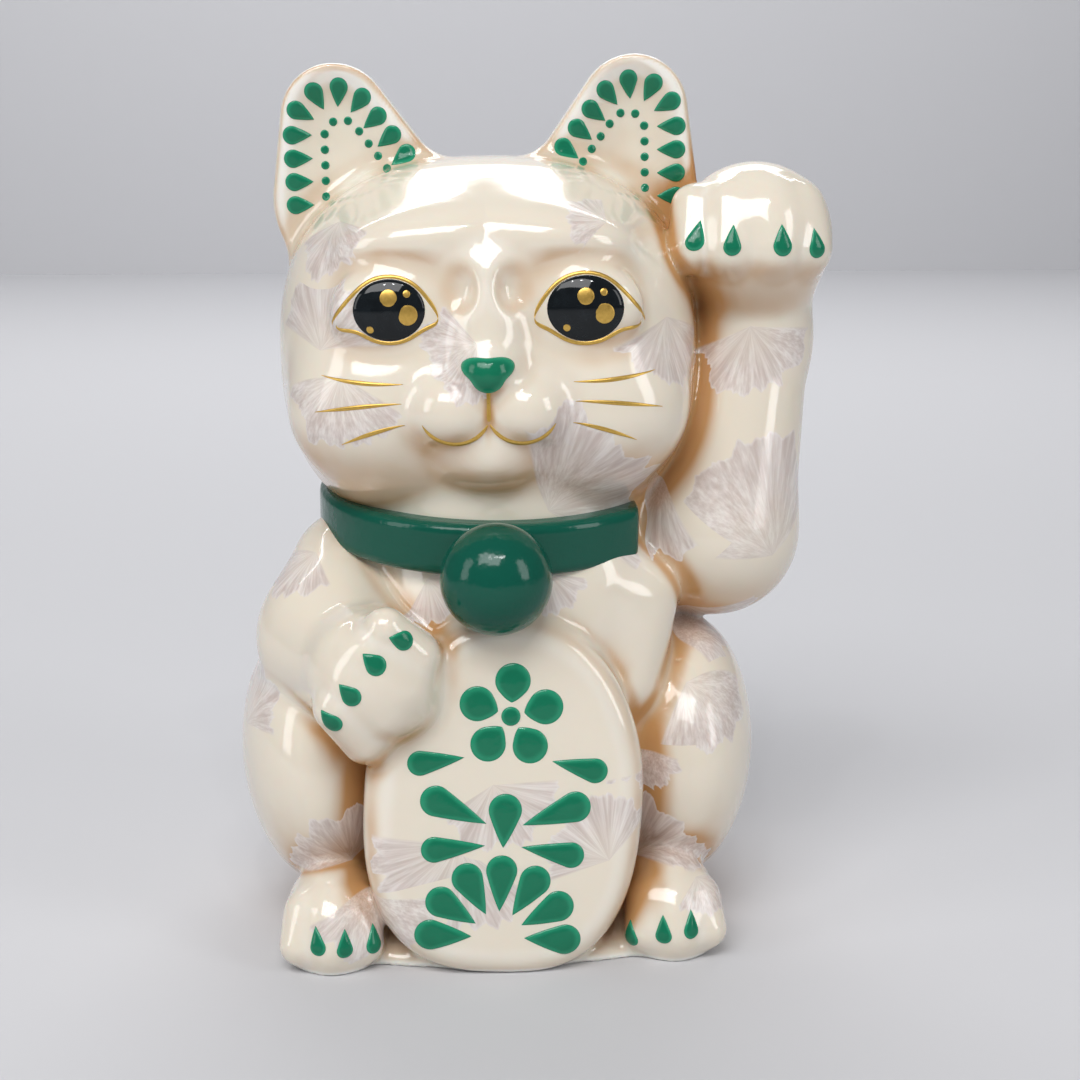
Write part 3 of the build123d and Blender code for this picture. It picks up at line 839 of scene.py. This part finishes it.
# Crystals grown in the glaze: the piece, a place near it from its middle, the way the fan opens, its radius
FANS = (
    ("raised_arm", (5.5, -16, -32), (-0.35, 0, 0.94), 26),
    ("raised_arm", (1, -14, 14), (0.2, 0, -1), 15),
    ("raised_arm", (-18.5, -11, -15), (0.2, 0, -1), 19),
    ("body_shell", (40, -18, 21), (0.1, 0, -1), 15),
    ("left_haunch", (-4, -24, 22), (0.6, 0, -0.7), 16),
    ("left_haunch", (-15, -26, 8), (0.1, 0, -1), 13),
    ("left_haunch", (-8, -22, -24), (0.4, 0, 1), 16),
    ("right_haunch", (8, -24, -18), (-0.2, 0, 1), 14),
    ("right_haunch", (-14, -12, 10), (0.6, 0, 1), 15),
    ("plaque", (-10, -13, -8), (-0.4, 0, -1), 19),
    ("plaque", (20, -13, -12), (-0.5, 0, 0.8), 14),
    ("plaque", (-3, -13, 4), (0.3, 0, -1), 14),
    ("head_shell", (10, -30, -34), (0.75, 0, 0.6), 24),
    ("head_shell", (-5, -40, 1), (-0.9, 0, -0.4), 12),
    ("head_shell", (-35, -26, -2), (0.1, 0, 1), 17),
    ("head_shell", (-30, -30, -7), (-0.2, 0, -1), 15),
    ("head_shell", (22, -30, 24), (-0.8, 0, 0.5), 9),
    ("head_shell", (35, -26, 4), (0.1, 0, -1), 15),
    ("body_shell", (-17, -36, 30), (0.7, 0, -0.6), 10),
    ("body_shell", (8, -38, 31), (0.1, 0, -1), 9),
    ("head_shell", (-35, -20, 29), (0.2, 0, -1), 13),
    ("lowered_arm", (-8, 2, 18), (-0.4, 0, -1), 13),
    ("left_foot", (6, -10, 11), (0.2, 0, -1), 9),
    ("right_foot", (11, -9, 8), (0.2, 0, -1), 15),
)
BACK_FANS = 12  # placed by a formula, where nothing is known of them


def crystals():
    """Each fan's middle on the surface, the way it opens along the surface, and its radius in mm."""
    found = list(FANS)
    for i in range(BACK_FANS):
        turn = i * 2.4
        piece = ("body_shell", "head_shell")[i % 2]
        offset = (38 * math.sin(turn), 30 + 8 * math.cos(turn), (i - BACK_FANS / 2) * (6.5, 5)[i % 2])
        found.append((piece, offset, (math.cos(1.7 * i), 0, math.sin(1.7 * i)), 13 + 3 * (i % 3)))
    for piece, offset, way, size in found:
        skin = skin_near(piece)
        place = mid(piece, *offset)[None]
        for _ in range(12):
            place = place - gradient(skin, place) * skin(place)[:, None] * 0.8
        out = gradient(skin, place)[0]
        way = np.array(way) - out * np.dot(way, out)
        yield tuple(place[0]), tuple(way / np.linalg.norm(way)), float(size)


def crystal_glaze():
    """An ivory glaze: caramel where it pools, and as painted shade on surfaces that face down; cream where
    it thins; with fan-shaped crystals grown in it.
    """
    n = Nodes("crystal_glaze")
    place = n.place_mm()
    centre, opens, radius = (1000.0, 0.0, 0.0), (1.0, 0.0, 0.0), 1.0
    for here, way, size in crystals():
        inside = n.math("LESS_THAN", n.vector("LENGTH", n.vector("SUBTRACT", place, here)), size * 1.1)
        ahead = n.vector("DOT_PRODUCT", n.vector("SUBTRACT", place, here), way)
        inside = n.math("MULTIPLY", inside, n.math("GREATER_THAN", ahead, 0.0))
        centre = n.mix(inside, centre, here, "VECTOR")
        opens = n.mix(inside, opens, way, "VECTOR")
        radius = n.mix(inside, radius, size, "FLOAT")
    from_centre = n.vector("SUBTRACT", place, centre)
    distance = n.vector("LENGTH", from_centre)
    way = n.vector("NORMALIZE", from_centre)
    scallop = n.noise(way, 3.4, 1, 0.5)
    notch = n.noise(way, 13, 1, 0.5)
    reach = n.math("ADD", n.math("MULTIPLY", scallop, 0.55), n.math("MULTIPLY", notch, 0.12))
    edge = n.math("MULTIPLY", radius, n.math("ADD", reach, 0.58))
    margin = n.math("SUBTRACT", edge, distance)
    facing = n.vector("DOT_PRODUCT", way, opens)
    fan = n.math("MULTIPLY", n.step(margin, -0.1, 0.4), n.step(facing, 0.22, 0.30))
    rim = n.math("MULTIPLY", n.step(margin, 0.9, 0.1), fan)
    drawn_out = n.vector("ADD", way, n.scaled(from_centre, 0.006))
    fine = n.noise(drawn_out, 17, 3, 0.6)
    broad = n.noise(drawn_out, 5, 1, 0.5)
    streak = n.math("ADD", n.math("MULTIPLY", fine, 0.6), n.math("MULTIPLY", broad, 0.4))

    drift = n.noise(place, 0.035, 3, 0.55)
    wander = n.noise(place, 0.11, 2)
    height_z = n.add("ShaderNodeSeparateXYZ", {0: place}).outputs[2]
    above_foot = n.math("ADD", n.math("MULTIPLY", n.step(height_z, 3.0, 14.0), 0.6), 0.4)
    pool_and_shade = n.math("MULTIPLY", n.attribute("pool"), above_foot)
    pool_and_shade = n.math("ADD", pool_and_shade, n.math("MULTIPLY", n.step(drift, 0.48, 0.72), 0.16))
    # Painted shade: surfaces that face down get caramel too, partly glaze that has run down and partly
    # painted shade under things.
    normal = n.add("ShaderNodeNewGeometry").outputs["Normal"]
    down = n.math("MULTIPLY", n.add("ShaderNodeSeparateXYZ", {0: normal}).outputs[2], -1.0)
    underside_shade_and_run = n.math("MULTIPLY", n.step(down, -0.05, 0.85), above_foot)
    pool_and_shade = n.math("ADD", pool_and_shade, n.math("MULTIPLY", underside_shade_and_run, 0.42))
    body = n.mix(n.step(pool_and_shade, 0.12, 0.72), IVORY, CARAMEL)
    ridge = n.math("ADD", n.attribute("ridge"), n.math("MULTIPLY", wander, 0.12))
    body = n.mix(n.step(ridge, 0.10, 0.70), body, CREAM)
    crystal = n.mix(n.step(streak, 0.30, 0.74), CRYSTAL, CRYSTAL_EDGE)
    fade = n.step(n.math("DIVIDE", distance, radius), 0.05, 0.75)
    veil = n.math("MULTIPLY", fan, n.math("ADD", n.math("MULTIPLY", fade, 0.34), 0.48))
    colour = n.mix(veil, body, crystal)
    colour = n.mix(n.math("MULTIPLY", rim, 0.5), colour, CRYSTAL_EDGE)
    colour = n.mix(n.step(height_z, 1.6, 0.5), colour, CREAM)

    wave = n.noise(place, 0.10, 2)
    grain = n.math("MULTIPLY", n.math("MULTIPLY", streak, fan), 0.12)
    height = n.math("ADD", n.math("MULTIPLY", wave, 0.5), grain)
    bump = n.add("ShaderNodeBump", {"Height": height, "Strength": 0.35, "Distance": 0.0006})
    n.look(Base_Color=colour, Normal=bump.outputs["Normal"])
    n.look(Roughness=n.math("ADD", 0.12, n.math("MULTIPLY", fan, 0.12)))
    n.look(Coat_Weight=0.5, Coat_Roughness=0.03, IOR=1.5, Subsurface_Weight=0.12, Subsurface_Scale=0.004)
    return n.material


def green_enamel(name, thick, thin):
    """Glossy enamel, deeper where it is thick and paler round its edges."""
    n = Nodes(name)
    place = n.place_mm()
    clouds = n.noise(place, 0.45, 3, 0.6)
    edge = n.math("ADD", n.step(n.attribute("thin"), 0.55, 1.0), n.math("MULTIPLY", clouds, 0.35))
    n.look(Base_Color=n.mix(n.step(edge, 0.1, 1.1), thick, thin))
    ripple = n.noise(place, 0.5, 2)
    bump = n.add("ShaderNodeBump", {"Height": ripple, "Strength": 0.25, "Distance": 0.0004})
    n.look(Normal=bump.outputs["Normal"], Roughness=n.math("ADD", 0.09, n.math("MULTIPLY", clouds, 0.08)))
    n.look(IOR=1.38)
    return n.material


def black_enamel():
    n = Nodes("black_enamel")
    clouds = n.noise(n.place_mm(), 0.4, 2)
    n.look(Base_Color=n.mix(clouds, (0.002, 0.003, 0.004), (0.010, 0.014, 0.017)))
    n.look(Roughness=0.05, IOR=1.38)
    return n.material


def gold_lustre():
    n = Nodes("gold_lustre")
    place = n.place_mm()
    worn = n.noise(place, 1.6, 3, 0.7)
    n.look(Base_Color=n.mix(worn, (0.50, 0.30, 0.055), (0.80, 0.52, 0.13)))
    n.look(Roughness=n.math("ADD", 0.22, n.math("MULTIPLY", worn, 0.2)), Metallic=0.75)
    return n.material


def bare_clay():
    n = Nodes("bare_clay")
    place = n.place_mm()
    speckle = n.noise(place, 1.4, 4, 0.7)
    n.look(Base_Color=n.mix(n.step(speckle, 0.4, 0.7), (0.72, 0.66, 0.57), (0.60, 0.52, 0.42)))
    bump = n.add("ShaderNodeBump", {"Height": speckle, "Strength": 0.5, "Distance": 0.0003})
    n.look(Roughness=0.85, Normal=bump.outputs["Normal"])
    return n.material


# The room -----------------------------------------------------------------------------------------
def studio():
    """A pale floor and a pale wall far behind."""
    n = Nodes("studio_paint")
    n.look(Base_Color=(0.60, 0.60, 0.62), Roughness=0.7)
    for name, place, tilt in (("studio_floor", (0, 0, 0), 0), ("studio_wall", (0, 2.2, 2), math.pi / 2)):
        bpy.ops.mesh.primitive_plane_add(size=9, location=place, rotation=(tilt, 0, 0))
        plane = bpy.context.object
        plane.name = name
        plane.data.materials.append(n.material)
        plane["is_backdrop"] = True


def light(name, place, size, power, target=(0, 0, 0.09)):
    data = bpy.data.lights.new(name, "AREA")
    data.shape = "RECTANGLE"
    data.size, data.size_y = size
    data.energy = power
    lamp = bpy.data.objects.new(name, data)
    lamp.location = place
    lamp.rotation_euler = (Vector(target) - Vector(place)).to_track_quat("-Z", "Y").to_euler()
    bpy.context.scene.collection.objects.link(lamp)


def lights():
    light("key", (-0.30, -0.80, 1.05), (0.95, 0.55), 10.5)
    light("fill", (1.0, -0.7, 0.55), (0.35, 0.8), 3.4)
    light("left_fill", (-1.1, -0.45, 0.5), (0.35, 0.8), 2.6)
    light("back", (0.1, 0.9, 1.1), (1.0, 0.5), 4)
    light("wall_wash", (0, 1.0, 1.6), (2.5, 0.4), 26, target=(0, 2.2, 0.4))
    for x in (-0.30, -0.05, 0.22):
        light("spark", (x, -0.9, 1.3), (0.04, 0.04), 0.8)
    world = bpy.data.worlds.new("studio")
    world.use_nodes = True
    world.node_tree.nodes["Background"].inputs[0].default_value = (0.86, 0.88, 0.93, 1)
    world.node_tree.nodes["Background"].inputs[1].default_value = 0.20
    bpy.context.scene.world = world


def camera():
    """A 60 mm lens 382 mm in front of the cat, a little to its right, looking down by 12 degrees."""
    azimuth, pitch = math.radians(-4.5), math.radians(12)
    right = Vector((math.cos(azimuth), math.sin(azimuth), 0))
    ahead = Vector((-math.sin(azimuth), math.cos(azimuth), 0))
    data = bpy.data.cameras.new("camera")
    data.lens, data.sensor_width = 60, 36
    view = bpy.data.objects.new("camera", data)
    view.location = 0.0093 * right - 0.382 * ahead + Vector((0, 0, 0.160))
    look = ahead * math.cos(pitch) - Vector((0, 0, math.sin(pitch)))
    view.rotation_euler = look.to_track_quat("-Z", "Y").to_euler()
    bpy.context.scene.collection.objects.link(view)
    bpy.context.scene.camera = view


# Putting it together ------------------------------------------------------------------------------
bpy.context.scene.view_settings.view_transform = "Standard"
camera()
glaze = crystal_glaze()
bright_green = green_enamel("green_enamel", (0.006, 0.165, 0.085), (0.020, 0.27, 0.145))
deep_green = green_enamel("collar_enamel", (0.003, 0.085, 0.055), (0.003, 0.110, 0.072))
gold, black, clay = gold_lustre(), black_enamel(), bare_clay()

for name in CLAY:
    made = clay_piece(name)
    green = name in ("collar", "bell")
    made.data.materials.append(deep_green if green else glaze)
    if green:
        store(made, "thin", np.zeros(len(made.data.vertices)))

for word, side in SIDES.items():
    enamel(f"{word}_ear_petals", ear_layers(side), bright_green)
    enamel(f"{word}_eye", eye_layers(side), black)
    enamel(f"{word}_eye_catchlights", catchlight_layers(side), gold)
    enamel(f"{word}_eye_outline", eye_outline_layers(side), gold)
head_skin = skin_near("head_shell")
nose_patch = patch(head_skin, HEAD_CENTRE, HEAD_AXES, nose_outline(), NOSE_RELIEF)
enamel("nose", [nose_patch], bright_green)
enamel("whiskers", whisker_layers(), gold)
enamel("mouth_line", mouth_layers(), gold)
for node, (host, places) in CLAWS.items():
    enamel(node, claw_layers(host, places), bright_green)
enamel("plaque_ornament", ornament_layers(), bright_green)

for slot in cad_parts["base_floor"].material_slots:
    slot.material = clay

studio()
lights()
sizes = {"cad": CAD_BOX, "visual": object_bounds()}
{key: [list(map(float, corner)) for corner in box] for key, box in sizes.items()}
